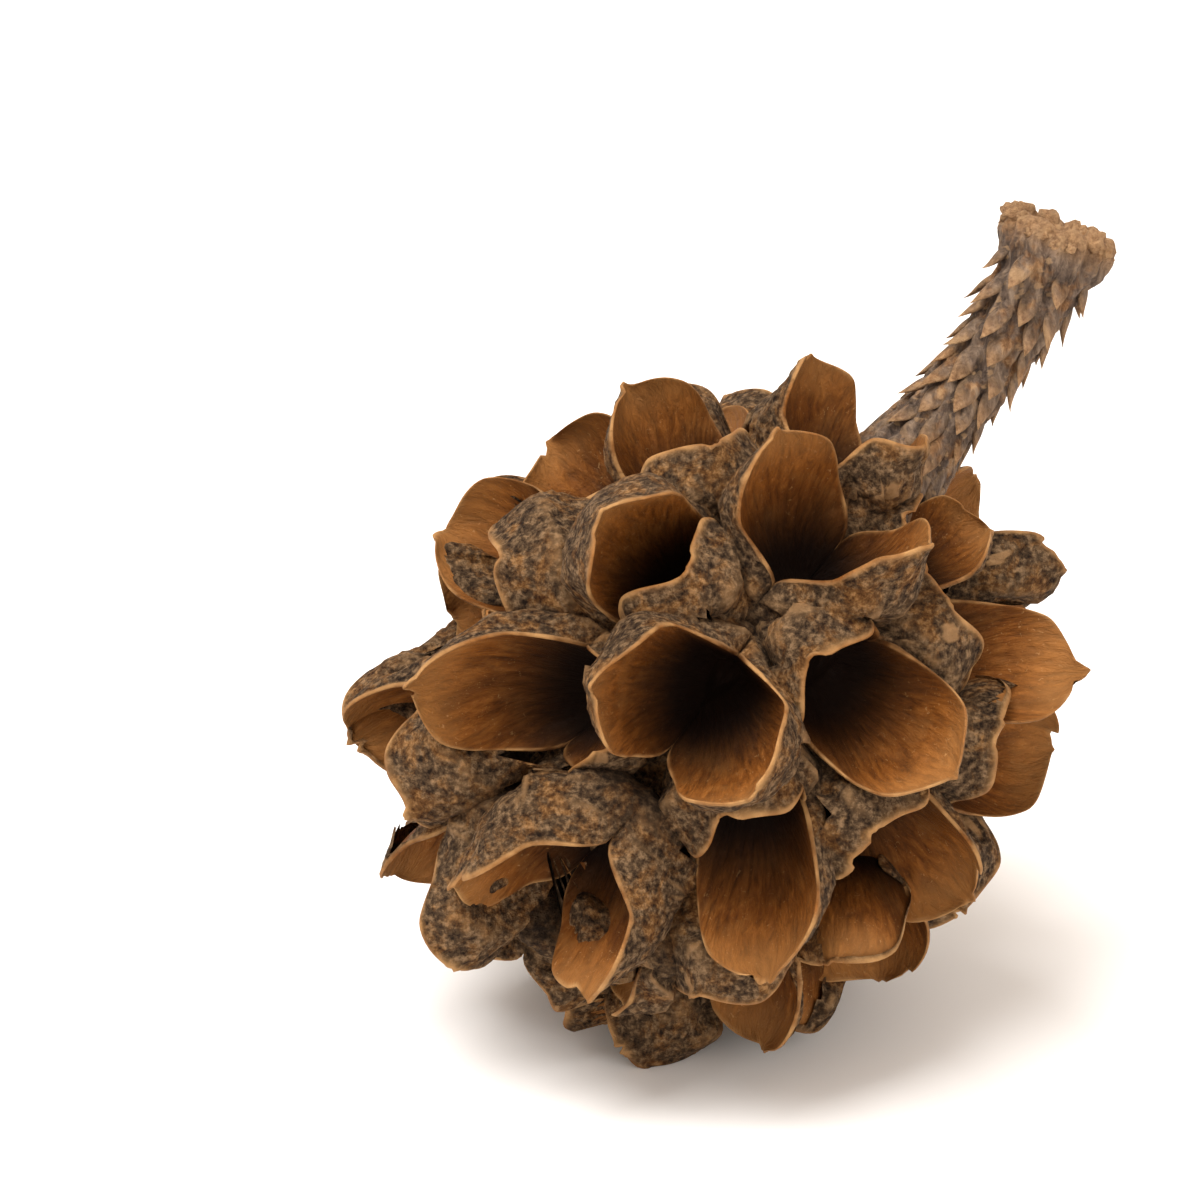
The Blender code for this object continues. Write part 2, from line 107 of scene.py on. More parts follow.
# The fine valve: its rim from the notch to the tip, its thin lip, and how uneven it is.
# Shares are of the valve's length, and places go from -1 to 1 round one valve.
NOTCH_SHARE = 0.22
TOP_SHARE = 1.03
RIM_POWER = 0.87
LIP_THICK = 0.13
PALE_RIM = 0.09
COLUMNS_PER_VALVE = 56
INNER_RINGS = 20
OUTER_RINGS = 24
LIP_RINGS = 2
RIM_UNEVEN = 0.06
NICK_PLACES = 0.35
NICK_DEPTH = 0.07
NICK_WIDTH = 0.05
TIP_RISE = 0.02
GROWN_TOGETHER = 0.72
BACK_FLARE = 0.45
FOOT_THICK_SHARE = 0.8
WALL_BULGE = 0.35
ROOT_ALONG = 1.6
RIM_WAVE = 0.13
RIM_WAVE_PER_MM = 0.55
BACK_LUMP = 0.1
BACK_LUMPS_PER_MM = 1.3
BACK_GRAIN = 0.07
BACK_GRAINS_PER_MM = 4.0

# What stands in another fruit's hollow is sunk this far beneath its inner face
SUNK_BY = 0.14
HOLLOW_REACH = 7.0
HOLLOW_HEIGHTS = (1.9, 3.0)

# A back is thinned where it would come this near another fruit's inner face, or stand over it
CLEAR_BY = 0.22
CLEAR_HEIGHT = 3.6
WAY_STEP = 0.2

# A valve behind that crosses another's hollow is shortened, as in the solids
PACKED_SUNK_BY = 0.3
HOLLOW_HEIGHT = 2.2
CROSSING_SPOTS = np.array([(0.62, -1.0), (0.98, -0.75), (0.98, 0.0), (0.98, 0.75), (0.62, 1.0)])
SHORTENED = 0.9
LEAST_LENGTH = 0.82

# Behind a hollow that the picture shows, it gets shorter still, and what stands in the hollow is cut
LEAST_BEFORE_SHOWN = 0.5
SMALL_PATCH = 700

# The core's surface
CORE_RINGS = 150
CORE_COLUMNS = 220
CORE_LUMP = 0.35
CORE_GRAIN = 0.08

# The stalk's middle line and radii, as in the solids
STALK_GAP = 0.3
STALK_RADII = ((0.0, 1.5), (0.25, 1.1), (0.55, 0.98), (0.8, 1.15), (0.95, 1.55), (1.0, 1.55))
STALK_LIFT = 2.0
STALK_BEND = np.array([3.75, 1.1, 4.1])
STALK_END = np.array([4.72, 1.8, 6.75])
TOOTH_WHORLS = 9
TEETH_PER_WHORL = 7
TOOTH_LENGTH = 1.1
TOOTH_LEAN = 28.0
KNOBS = 9
KNOB_RADIUS = 0.42

# The fine stalk: its fissures, its torn end as (inset, lift) rings, and its scale leaves
STALK_COLUMNS = 150
STALK_RINGS = 240
STALK_BELOW = -0.55
STALK_RIDGES = 14
RIDGE_SHARE = 0.045
TORN_RINGS = (
    (0.97, 0.12),
    (0.9, 0.22),
    (0.8, 0.2),
    (0.7, 0.05),
    (0.55, -0.25),
    (0.4, -0.4),
    (0.2, -0.35),
)
TORN_LIFT = 0.35
BARK_LUMP = 0.16
BARK_GRAIN = 0.07
TEETH_FROM = 0.2
TEETH_REACH = 0.66
TOOTH_SHARES = (0.6, 0.9)
TOOTH_WIDTHS = (0.3, 0.38)
LEAST_TOOTH_LEAN = 14.0
FOOT_WHORLS = 4
LEAVES_PER_FOOT_WHORL = 9
FOOT_LEAF_LENGTHS = (0.9, 1.3)
FOOT_LEAF_WIDTH = 0.34
FOOT_LEAF_LEANS = (4.0, 20.0)

# The camera, as the picture was taken: its height above level, its distance, and the width of the view
CAMERA_RISE = 23.0
CAMERA_DISTANCE = 180.0
VIEW_WIDTH = 34.3
HEAD_RIGHT_OF_MIDDLE = 3.26
HEAD_BELOW_MIDDLE = 3.03
SENSOR = 36.0

# Colours inside the valves: along the fibres, then veins, mottling, flecks, the rim, and painted shade deep
# in the mouth
FACE_STOPS = ((0.3, (0.075, 0.022, 0.003)), (0.5, (0.20, 0.062, 0.0085)), (0.7, (0.34, 0.12, 0.022)))
VEIN_BROWN = (0.10, 0.032, 0.006)
MOTTLE_TAN = (0.30, 0.125, 0.032)
FLECK_TAN = (0.52, 0.28, 0.11)
NEAR_RIM_TAN = (0.37, 0.175, 0.055)
MOUTH_PAINTED_SHADE = (0.005, 0.0016, 0.0004)
LIP_STOPS = ((0.35, (0.20, 0.085, 0.025)), (0.65, (0.45, 0.245, 0.095)))

# Colours of the backs: grey-brown crust, rust where it has worn, tan edges, and painted shade in the
# creases low down
CRUST_STOPS = ((0.36, (0.012, 0.006, 0.003)), (0.5, (0.080, 0.047, 0.024)), (0.68, (0.31, 0.19, 0.098)))
RUST_STOPS = ((0.34, (0.045, 0.015, 0.004)), (0.5, (0.18, 0.076, 0.020)), (0.68, (0.45, 0.23, 0.08)))
EDGE_TAN = (0.40, 0.225, 0.10)
CREASE_PAINTED_SHADE = (0.014, 0.008, 0.005)

# Colours of the stalk: its bark, bark worn warm, leaf points and torn fibres, and edges
BARK_STOPS = ((0.34, (0.03, 0.019, 0.013)), (0.5, (0.12, 0.08, 0.056)), (0.66, (0.27, 0.19, 0.13)))
WARM_STOPS = ((0.34, (0.06, 0.026, 0.01)), (0.5, (0.21, 0.1, 0.04)), (0.66, (0.42, 0.25, 0.12)))
POINT_STOPS = ((0.35, (0.17, 0.075, 0.026)), (0.62, (0.44, 0.25, 0.115)))
BARK_EDGE_TAN = (0.42, 0.26, 0.13)

# The fruits in front, as in the solids: by whorl and place, the shift in latitude and longitude,
# then the left and the right valve, each with its lean, its twist, its gape and its length as a share
FRUITS_IN_FRONT = {
    (0, 0): (0.6, 0.6, (17, 19, 26, 1.01), (13, -16, 30, 1.07)),
    (2, 0): (-0.4, 0.4, (5, -20, 36, 1.05), (-12, -4, 27, 1.01)),
    (1, 0): (1.3, -3.1, (19, -2, 10, 0.63), (17, -7, 42, 1.03)),
    (1, -1): (-3.8, -0.1, (11, 2, 6, 0.99), (5, 1, 7, 0.61)),
    (-1, 0): (3.3, 0.7, (14, -14, 6, 0.51), (24, -19, 27, 1.07)),
    (-2, 0): (-5, 2.3, (29, 10, 29, 1.05), (16, -23, 29, 1.09)),
    (-1, -1): (0.2, 1.3, (19, 7, 29, 1.09), (23, 2, 26, 0.5)),
    (2, -1): (-2.7, 1.4, (1, 17, 28, 0.85), (-2, 2, 12, 0.63)),
    (2, 1): (2.6, -3.2, (-29, 48, 17, 0.62), (5, 8, 49, 1.09)),
    (0, 1): (-2.1, 1.5, (8, -7, 12, 0.66), (31, 19, 51, 0.91)),
    (0, -1): (1.3, -2.7, (12, 22, 44, 0.93), (41, 58, 10, 0.75)),
    (-2, -1): (-0.4, -1.6, (35, -7, 35, 1.06), (35, 3, 14, 0.95)),
    (-3, -1): (-1.1, -1, (44, -7, 30, 1.07), (38, 8, 24, 1.13)),
    (3, -1): (2.7, 22.2, (0, -7, 33, 1.03), (-3, 2, 26, 0.96)),
    (3, 0): (1, -6.5, (11, 5, 24, 0.57), (-11, 13, 21, 0.7)),
    (-2, 1): (0.9, 2.3, (30, -9, 16, 0.8), (41, 4, 35, 0.98)),
    (1, 1): (3.3, -0.3, (-6, -16, 24, 0.74), (1, 17, 37, 0.92)),
    (-2, -2): (0, 0, (40, 0, 45, 1.1), (40, 0, 45, 1.1)),
    (-1, 1): (0, 0, (30, 0, 36, 0.85), (30, 0, 30, 0.8)),
    (0, 2): (0, 0, (24, 0, 22, 0.8), (24, 0, 28, 0.8)),
    (-1, 2): (0, 0, (30, 0, 32, 0.82), (30, 0, 26, 0.76)),
    (-2, 2): (0, 0, (36, 0, 30, 0.8), (36, 0, 34, 0.85)),
}


def unit(vector):
    return vector / np.linalg.norm(vector)


def smooth(low, high, value):
    """A soft step from 0 at low to 1 at high."""
    part = np.clip((value - low) / (high - low), 0.0, 1.0)
    return part * part * (3.0 - 2.0 * part)


def rough(points, per_mm, octaves=4, shift=0.0):
    """Fractal noise at each of the points, about -1 to 1."""
    flat = points.reshape(-1, 3) * per_mm + shift
    values = [noise.fractal(Vector(point), 1.0, 2.0, octaves) for point in flat]
    return np.array(values).reshape(points.shape[:-1])


def wander(points, per_mm, shift=0.0):
    """A noise vector at each of the points."""
    flat = points.reshape(-1, 3) * per_mm + shift
    values = [noise.noise_vector(Vector(point)) for point in flat]
    return np.array(values).reshape(points.shape)


def cone_axes():
    """The unit vectors of the head: along the axis to the stalk, towards the front, and across."""
    rise, bearing = math.radians(AXIS_RISE), math.radians(AXIS_BEARING)
    level = math.cos(rise)
    along = np.array([level * math.cos(bearing), level * math.sin(bearing), math.sin(rise)])
    front = unit(FRONT - FRONT.dot(along) * along)
    return along, front, np.cross(along, front)


def body_radius(direction, along, half_width, half_length):
    rise = direction.dot(along)
    return 1.0 / math.sqrt((rise / half_length) ** 2 + (1.0 - rise * rise) / half_width**2)


def drawn_habit(whorl, draw):
    """The shifts and the two valves of a fruit that the picture doesn't show."""
    lean = max(LEAST_LEAN, LEAN_ZERO - LEAN_STEP * whorl) + draw.uniform(-5.0, 5.0)
    lengths = [draw.uniform(0.92, 1.1) for _ in range(2)]
    gapes = [draw.uniform(*EVEN_GAPES) for _ in range(2)]
    if draw.random() < STEEP_SHARE:
        steep = draw.randrange(2)
        lengths[steep] *= STEEP_LENGTH
        gapes[steep], gapes[1 - steep] = draw.uniform(*STEEP_GAPES), draw.uniform(*WIDE_GAPES)
    twists = [draw.uniform(-MOST_TWIST, MOST_TWIST) for _ in range(2)]
    valves = [(lean, *habit) for habit in zip(twists, gapes, lengths)]
    return draw.uniform(-2.0, 2.0), draw.uniform(-3.0, 3.0), *valves


def valve_habit(side, out, aside, away, habit):
    """One valve: the way that it rises, the way that its hollow face looks, and its frame."""
    lean, twist, gape = (math.radians(angle) for angle in habit[:3])
    pointing = math.cos(lean) * out + math.sin(lean) * away
    opening = math.cos(twist) * aside + math.sin(twist) * np.cross(pointing, aside)
    return {
        "upward": math.cos(gape) * pointing + side * math.sin(gape) * opening,
        "inward": math.sin(gape) * pointing - side * math.cos(gape) * opening,
        "across": np.cross(opening, pointing),
        "pointing": pointing,
        "opening": opening,
        "gape": habit[2],
        "length": habit[3],
    }


def fruit_places():
    """Every fruit as a dictionary: its whorl, mouth, directions, size and two valves."""
    along, front, across = cone_axes()
    draw = random.Random(SEED)
    fruits = []
    for whorl in WHORLS:
        count = FRUITS_IN_END_WHORLS.get(whorl, FRUITS_PER_WHORL)
        for place in range(count):
            habit = drawn_habit(whorl, draw)
            spot = (whorl, place if 2 * place <= count else place - count)
            habit = FRUITS_IN_FRONT.get(spot, habit)
            latitude = math.radians(WHORL_ZERO + WHORL_STEP * whorl + habit[0])
            longitude = math.radians(PLACE_ZERO + 360.0 / count * (place + 0.5 * (whorl % 2)) + habit[1])
            level = math.cos(longitude) * front + math.sin(longitude) * across
            out = math.cos(latitude) * level + math.sin(latitude) * along
            aside = unit(np.cross(along, out))
            away = np.cross(aside, out)
            left, right = (valve_habit(side, out, aside, away, habit[2 + (side > 0)]) for side in (-1, 1))
            pointing = unit(left["pointing"] + right["pointing"])
            opening = left["opening"] + right["opening"]
            reach = body_radius(out, along, MOUTH_HALF_WIDTH, MOUTH_HALF_LENGTH)
            fruits.append(
                {
                    "whorl": whorl,
                    "mouth": HEAD_CENTRE + out * reach,
                    "out": pointing,
                    "aside": unit(opening - opening.dot(pointing) * pointing),
                    "size": 1.0 - END_SHRINK * abs(math.sin(latitude)) ** 3,
                    "valves": (left, right),
                    "shown": spot in FRUITS_IN_FRONT,
                }
            )
    shorten_crossing(fruits, fruits, LEAST_LENGTH)
    shorten_crossing(fruits, shown_of(fruits), LEAST_BEFORE_SHOWN)
    return fruits


def valve_half_width(share):
    """Half of a valve's width at a share of its length, narrowing to the foot and the tip."""
    half = 0.5 * VALVE_WIDTH
    below = np.clip((VALVE_WIDEST - share) / VALVE_WIDEST, 0.0, None)
    beyond = np.clip((share - VALVE_WIDEST) / (1.0 - VALVE_WIDEST), 0.0, 1.0)
    foot = 1.0 - (1.0 - VALVE_FOOT_SHARE) * below**2
    tip = VALVE_TIP_SHARE + (1.0 - VALVE_TIP_SHARE) * np.sqrt(1.0 - beyond**2)
    return half * np.where(share < VALVE_WIDEST, foot, tip)


def of_side(fruit, side, name):
    """The left or the right valve's value of that name, for each column."""
    left, right = (np.asarray(valve[name]) for valve in fruit["valves"])
    on_left = (side < 0)[..., None] if left.ndim else side < 0
    return np.where(on_left, left, right)


def inner_face(fruit, side, share, t):
    """Points of the hollow inner faces: share runs from foot to tip, t from edge to edge."""
    rise = share * of_side(fruit, side, "length")
    foot = side[..., None] * fruit["aside"] * FOOT_APART - fruit["out"] * FOOT_DEPTH
    cup = VALVE_DEPTH * (0.2 + 2.4 * rise * (1.25 - rise))
    bow = cup * t * t - VALVE_SAG * 4.0 * rise * (1.0 - rise)
    across = of_side(fruit, side, "across") * (valve_half_width(share) * t)[..., None]
    risen = of_side(fruit, side, "upward") * (VALVE_LENGTH * rise)[..., None]
    bowed = of_side(fruit, side, "inward") * bow[..., None]
    return fruit["mouth"] + (foot + risen + across + bowed) * fruit["size"]


def height_over(fruit, side, points):
    """How far points stand over a valve's inner face, and where on the valve they are."""
    valve = fruit["valves"][side > 0]
    foot = side * fruit["aside"] * FOOT_APART - fruit["out"] * FOOT_DEPTH
    local = (points - fruit["mouth"]) / fruit["size"] - foot
    rise = local @ valve["upward"] / VALVE_LENGTH
    share = rise / valve["length"]
    t = local @ valve["across"] / valve_half_width(np.clip(share, 0.0, 1.0))
    rise = np.clip(rise, 0.0, 1.1)
    cup = VALVE_DEPTH * (0.2 + 2.4 * rise * (1.25 - rise))
    bow = cup * np.clip(t, -1.1, 1.1) ** 2 - VALVE_SAG * 4.0 * rise * (1.0 - rise)
    return local @ valve["inward"] - bow, share, t


def in_hollow(fruit, point):
    """Whether a point stands in a fruit's hollow, over one of its valves."""
    for side in (-1, 1):
        height, share, t = height_over(fruit, side, point)
        on_valve = abs(t) < 1.1 and -0.1 < share < 1.0
        if on_valve and -PACKED_SUNK_BY < height < HOLLOW_HEIGHT:
            if height_over(fruit, -side, point)[0] > -PACKED_SUNK_BY:
                return True
    return False


def shorten_crossing(fruits, crossed, least):
    """Shortens the valves that the picture doesn't show, where they cross the hollow of one of crossed."""
    for fruit in fruits:
        others = [other for other in crossed if other is not fruit]
        for side, valve in zip((-1, 1), fruit["valves"]):
            while not fruit["shown"] and valve["length"] > least:
                spots = [np.array([value]) for value in CROSSING_SPOTS.T]
                rim = inner_face(fruit, np.full((1, len(CROSSING_SPOTS)), float(side)), *spots)[0]
                if not any(in_hollow(other, point) for other in others for point in rim):
                    break
                valve["length"] *= SHORTENED


def shown_of(fruits):
    return [fruit for fruit in fruits if fruit["shown"]]


def rim_of(place):
    """How far up a valve its rim is, round from notch to notch."""
    return NOTCH_SHARE + (TOP_SHARE - NOTCH_SHARE) * np.cos(0.5 * math.pi * place).clip(0.0) ** RIM_POWER


def over_valve(fruit, side, points):
    """How points stand to one valve: the height over it and over its partner, where on the valve
    they are, and how far up it the rim is there."""
    height, share, t = height_over(fruit, side, points)
    partner = height_over(fruit, -side, points)[0]
    return height, partner, share, t, rim_of(np.arcsin(np.clip(t, -1.0, 1.0)) / math.pi)


def sunk(points, fruits, amount, own=None):
    """The points, with what stands in another fruit's hollow moved beneath its inner faces."""
    moved = points.reshape(-1, 3).copy()
    amount = np.broadcast_to(amount, points.shape[:-1]).reshape(-1)
    for fruit in fruits:
        if fruit is own:
            continue
        near = np.nonzero(np.linalg.norm(moved - fruit["mouth"], axis=1) < HOLLOW_REACH)[0]
        for side in (-1.0, 1.0):
            here = moved[near]
            height, partner, share, t, top = over_valve(fruit, side, here)
            weight = 1.0 - smooth(1.0, 1.25, np.abs(t))
            weight = weight * (1.0 - smooth(1.02, 1.16, share / top)) * smooth(-0.25, -0.05, share)
            weight = weight * smooth(-0.5, 0.0, partner) * (1.0 - smooth(*HOLLOW_HEIGHTS, height))
            depth = weight * amount[near] * np.clip(height + SUNK_BY, 0.0, None) * fruit["size"]
            moved[near] = here - depth[:, None] * fruit["valves"][side > 0]["inward"]
    return moved.reshape(points.shape)


def in_hollows(points, fruits, own, margin):
    """Whether each of the points stands in another fruit's hollow, or within a margin of it."""
    flat = points.reshape(-1, 3)
    found = np.zeros(len(flat), bool)
    for fruit in fruits:
        if fruit is own:
            continue
        near = np.nonzero(np.linalg.norm(flat - fruit["mouth"], axis=1) < HOLLOW_REACH)[0]
        for side in (-1.0, 1.0):
            height, partner, share, t, top = over_valve(fruit, side, flat[near])
            over = (np.abs(t) < 1.0 + 0.4 * margin) & (share > -0.1) & (share < (1.0 + 0.3 * margin) * top)
            over &= (height > -margin) & (height < CLEAR_HEIGHT) & (partner > -margin)
            found[near[over]] = True
    return found.reshape(points.shape[:-1])


def clear_way(inner, outer, fruits, own):
    """How much of the way from inner to outer points is clear of other fruits' hollows, smoothed."""
    clear = np.ones(inner.shape[:-1])
    for part in np.arange(1.0, 0.01, -WAY_STEP):
        blocked = in_hollows(inner + (outer - inner) * part, fruits, own, CLEAR_BY)
        clear = np.where(blocked, part - WAY_STEP, clear)
    for _ in range(2):
        clear = np.minimum(clear, np.minimum(np.roll(clear, 1, axis=1), np.roll(clear, -1, axis=1)))
    for _ in range(3):
        clear = (np.roll(clear, 1, axis=1) + clear + np.roll(clear, -1, axis=1)) / 3.0
        padded = np.pad(clear, ((1, 1), (0, 0)), mode="edge")
        clear = (padded[:-2] + clear + padded[2:]) / 3.0
    return clear


def columns_round():
    """Round a fruit: the side of each column, and its place on that valve from -1 to 1."""
    step = np.arange(COLUMNS_PER_VALVE) / COLUMNS_PER_VALVE
    side = np.repeat([1.0, -1.0], COLUMNS_PER_VALVE)
    place = np.concatenate([2.0 * step - 1.0, 1.0 - 2.0 * step])
    return side, place


def rim_line(side, place, shift, draw):
    """How far up its valve the rim is in each column, with uneven edges, a nick and a small tip."""
    wave = np.array([noise.noise(Vector((3.0 * s, 7.0 * k, shift))) for s, k in zip(place, side)])
    nick_at, nick_deep = draw.uniform(-NICK_PLACES, NICK_PLACES), draw.uniform(0.0, NICK_DEPTH)
    nick = nick_deep * np.exp(-(((place - nick_at * side) / NICK_WIDTH) ** 2))
    tip = TIP_RISE * np.exp(-((place / NICK_WIDTH) ** 2))
    return rim_of(place) * (1.0 + RIM_UNEVEN * wave) - nick + tip


class Wall:
    """The columns of points round a fruit: how each goes up the hollow, and the wall behind it."""

    def __init__(self, fruit, shift, draw):
        self.fruit = fruit
        self.side, self.place = columns_round()
        self.rim_share = rim_line(self.side, self.place, shift, draw)
        self.rim_t = np.sin(0.5 * math.pi * np.clip(self.place / 0.5, -1.0, 1.0))
        self.shut = 0.5 * smooth(GROWN_TOGETHER, 1.0, np.abs(self.place))
        self.wide = np.cross(fruit["aside"], fruit["out"])
        self.steep = np.clip(1.0 - of_side(fruit, self.side, "gape") / WIDE_GAPES[0], 0.0, 1.0)
        self.outward = self.outward_ways()

    def outward_ways(self):
        """The way out of the back in each column, level across where the valves grow together."""
        across, inward = (of_side(self.fruit, self.side, name) for name in ("across", "inward"))
        outward = (BACK_FLARE * self.rim_t)[:, None] * across - inward
        outward /= np.linalg.norm(outward, axis=1)[:, None]
        level = np.sign(self.place)[:, None] * self.wide
        outward = outward + 2.0 * self.shut[:, None] * (level - outward)
        return outward / np.linalg.norm(outward, axis=1)[:, None]

    def thickness(self):
        """How thick the wall gets in each column: more behind a steep valve."""
        thick = (WALL_THICK + (STEEP_WALL_THICK - WALL_THICK) * self.steep) * self.fruit["size"]
        return thick + (FOOT_THICK_SHARE * WALL_THICK - thick) * 2.0 * self.shut

    def inner(self, part):
        """Points on the hollow's face, from its foot at part 0 to the rim at 1."""
        share = self.rim_share * part
        t = self.place + (self.rim_t - self.place) * part**1.5
        own = inner_face(self.fruit, self.side, share, t)
        other = inner_face(self.fruit, -self.side, share, t)
        return own + self.shut[:, None] * (other - own)

    def backs(self, downs, fruits):
        """Points on the backs at some ways down from the lip, thinned near other fruits' hollows."""
        thin = np.array([self.inner(1.0 - 0.5 * down) for down in downs]) + self.outward * LIP_THICK
        more = self.thickness() - LIP_THICK
        grown = [more * smooth(0.0, 1.0 - 0.45 * self.steep, down) for down in downs]
        full = thin + self.outward * np.array(grown)[..., None]
        return thin + (full - thin) * clear_way(thin, full, fruits, self.fruit)[..., None]

    def root(self):
        """The ring in which the fruit ends, sunk into the core."""
        fruit = self.fruit
        below = fruit["mouth"] - fruit["out"] * ROOT_DEPTH * fruit["size"]
        apart = self.side * ROOT_HALF_APART * (1.0 - 0.5 * self.place**2) * (1.0 - 2.0 * self.shut)
        beside = (self.place * ROOT_HALF_WIDE)[:, None] * self.wide
        return below + (apart[:, None] * fruit["aside"] + beside) * fruit["size"]


class Loft:
    """Rings of points, each with what the materials read there: inside, rim, rise and along."""

    def __init__(self):
        self.rings, self.read = [], []

    def add(self, points, inside, rim, rise, along):
        self.rings.append(points)
        self.read.append([value * np.ones(len(points)) for value in (inside, rim, rise, along)])

    def arrays(self):
        return np.array(self.rings), *np.array(self.read).transpose(1, 0, 2)


def fruit_rings(wall, fruits):
    """Rings from the foot of the hollow up to the lip, and down the backs to the root."""
    loft = Loft()
    for part in 1.0 - np.linspace(1.0, 0.0, INNER_RINGS) ** 1.5:
        share = wall.rim_share * part
        near = wall.rim_share * (1.0 - part) * VALVE_LENGTH
        loft.add(wall.inner(part), 1.0, np.exp(-((near / PALE_RIM) ** 2)), share, share * VALVE_LENGTH)

    top, before = wall.inner(1.0), wall.inner(0.94)
    rising = (top - before) / np.linalg.norm(top - before, axis=1)[:, None]
    crest = top + wall.outward * 0.5 * LIP_THICK + rising * 0.35 * LIP_THICK
    loft.add(crest, 0.7, 1.0, wall.rim_share, wall.rim_share * VALVE_LENGTH)
    loft.add(top + wall.outward * LIP_THICK, 0.3, 1.0, wall.rim_share, wall.rim_share * VALVE_LENGTH)

    half_way = OUTER_RINGS // 2
    downs = (np.arange(1, half_way + 1) / half_way) ** 1.3
    for down, points in zip(downs, wall.backs(downs, fruits)):
        share = wall.rim_share * (1.0 - 0.5 * down)
        loft.add(points, 0.0, math.exp(-((down / 0.04) ** 2)), share, share * VALVE_LENGTH)

    middle, rise, root = loft.rings[-1], share, wall.root()
    for step in range(1, OUTER_RINGS - half_way + 1):
        down = step / (OUTER_RINGS - half_way)
        points = middle + (root - middle) * down + wall.outward * WALL_BULGE * math.sin(math.pi * down)
        loft.add(points, 0.0, 0.0, rise * (1.0 - down), rise * VALVE_LENGTH - ROOT_ALONG * down)
    return loft.arrays()


def fruit_sheet(fruit, fruits, draw):
    """A fruit's rings, made uneven and clear of the other fruits' hollows, with marks and grain."""
    shift = draw.uniform(0.0, 100.0)
    wall = Wall(fruit, shift, draw)
    points, inside, rim, rise, along = fruit_rings(wall, fruits)
    near_rim = smooth(0.15, 1.0, rise)[..., None]
    points = points + wander(points, RIM_WAVE_PER_MM, shift) * RIM_WAVE * near_rim
    back = (1.0 - inside) * (1.0 - 0.8 * rim)
    lumps = BACK_LUMP * rough(points, BACK_LUMPS_PER_MM, 4, shift)
    lumps = lumps + BACK_GRAIN * rough(points, BACK_GRAINS_PER_MM, 2, shift)
    points = points + wall.outward[None] * (back * lumps)[..., None]

    below_lip = np.clip(np.arange(len(points)) - INNER_RINGS - LIP_RINGS, 0, None)
    amount = 1.0
    if fruit["shown"]:
        amount = smooth(0.0, 0.4, below_lip / (0.5 * OUTER_RINGS))[:, None]
    points = sunk(points, fruits, amount, own=fruit)
    cut = in_hollows(points, shown_of(fruits), fruit, 0.0)
    if fruit["shown"]:
        cut[: INNER_RINGS + LIP_RINGS + 1] = False

    across = np.broadcast_to(wall.place * 0.5 * VALVE_WIDTH, rise.shape)
    marks = {"inside": inside, "rim": rim, "rise": rise, "cut": cut.astype(float)}
    grain = np.stack([across, along, np.full(rise.shape, shift)], axis=-1)
    return points, marks, grain


def grid_faces(rings, columns, first=0):
    """The quads between rings of points that close round."""
    ring, column = np.meshgrid(np.arange(rings - 1), np.arange(columns), indexing="ij")
    after = (column + 1) % columns
    low, high = ring * columns, (ring + 1) * columns
    corners = [low + column, low + after, high + after, high + column]
    return first + np.stack(corners, axis=-1).reshape(-1, 4)


def capped_faces(rings, columns, first=0):
    """Those quads, and a fan at each end to a point that follows the rings."""
    quads = grid_faces(rings, columns, first).tolist()
    low, high = first + rings * columns, first + rings * columns + 1
    last = first + (rings - 1) * columns
    for column in range(columns):
        after = (column + 1) % columns
        quads.append((first + after, first + column, low))
        quads.append((last + column, last + after, high))
    return quads


def joined_sheets(sheets):
    """The points, faces, marks and grain of several closed lofts, each with a point at either end."""
    points, faces, marks, grains = [], [], {}, []
    count = 0
    for rings, ring_marks, grain in sheets:
        ends = np.array([rings[0].mean(axis=0), rings[-1].mean(axis=0)])
        points.append(np.concatenate([rings.reshape(-1, 3), ends]))
        faces += capped_faces(rings.shape[0], rings.shape[1], count)
        for mark, values in ring_marks.items():
            closed = np.concatenate([values.reshape(-1), [values[0, 0], values[-1, 0]]])
            marks.setdefault(mark, []).append(closed)
        end_grain = np.array([grain[0, 0], grain[-1, 0]])
        grains.append(np.concatenate([grain.reshape(-1, 3), end_grain]))
        count += len(points[-1])
    marks = {mark: np.concatenate(values) for mark, values in marks.items()}
    return np.concatenate(points), faces, marks, np.concatenate(grains)


def finish_mesh(mesh, cut):
    """Turns the faces outward, and removes the points to cut with the scraps that they leave."""
    form = bmesh.new()
    form.from_mesh(mesh)
    bmesh.ops.recalc_face_normals(form, faces=form.faces)
    if cut is not None:
        inside_others = [point for point in form.verts if cut[point.index] > 0.5]
        bmesh.ops.delete(form, geom=inside_others, context="VERTS")
        bmesh.ops.delete(form, geom=small_patches(form), context="VERTS")
    form.to_mesh(mesh)
    form.free()
    mesh.shade_smooth()


def sheets_object(name, sheets, material):
    """One mesh of several closed lofts, each of rings of points with marks and grain."""
    places, faces, marks, grain = joined_sheets(sheets)
    places[:, 2] = np.maximum(places[:, 2], LEAST_HEIGHT)
    mesh = bpy.data.meshes.new(name)
    mesh.from_pydata((places * MM).tolist(), [], faces)
    for mark, values in marks.items():
        mesh.attributes.new(mark, "FLOAT", "POINT").data.foreach_set("value", values)
    along_grain = mesh.attributes.new("grain", "FLOAT_VECTOR", "POINT")
    along_grain.data.foreach_set("vector", grain.ravel())
    finish_mesh(mesh, marks.get("cut"))
    mesh.materials.append(material)
    made = bpy.data.objects.new(name, mesh)
    bpy.context.scene.collection.objects.link(made)
    return made


def small_patches(form):
    """The points of every loose patch of a mesh that has few of them."""
    seen, small = set(), []
    for start in form.verts:
        if start in seen:
            continue
        seen.add(start)
        patch = [start]
        for point in patch:
            beyond = [edge.other_vert(point) for edge in point.link_edges]
            fresh = [other for other in beyond if other not in seen]
            seen.update(fresh)
            patch += dict.fromkeys(fresh)
        if len(patch) < SMALL_PATCH:
            small += patch
    return small


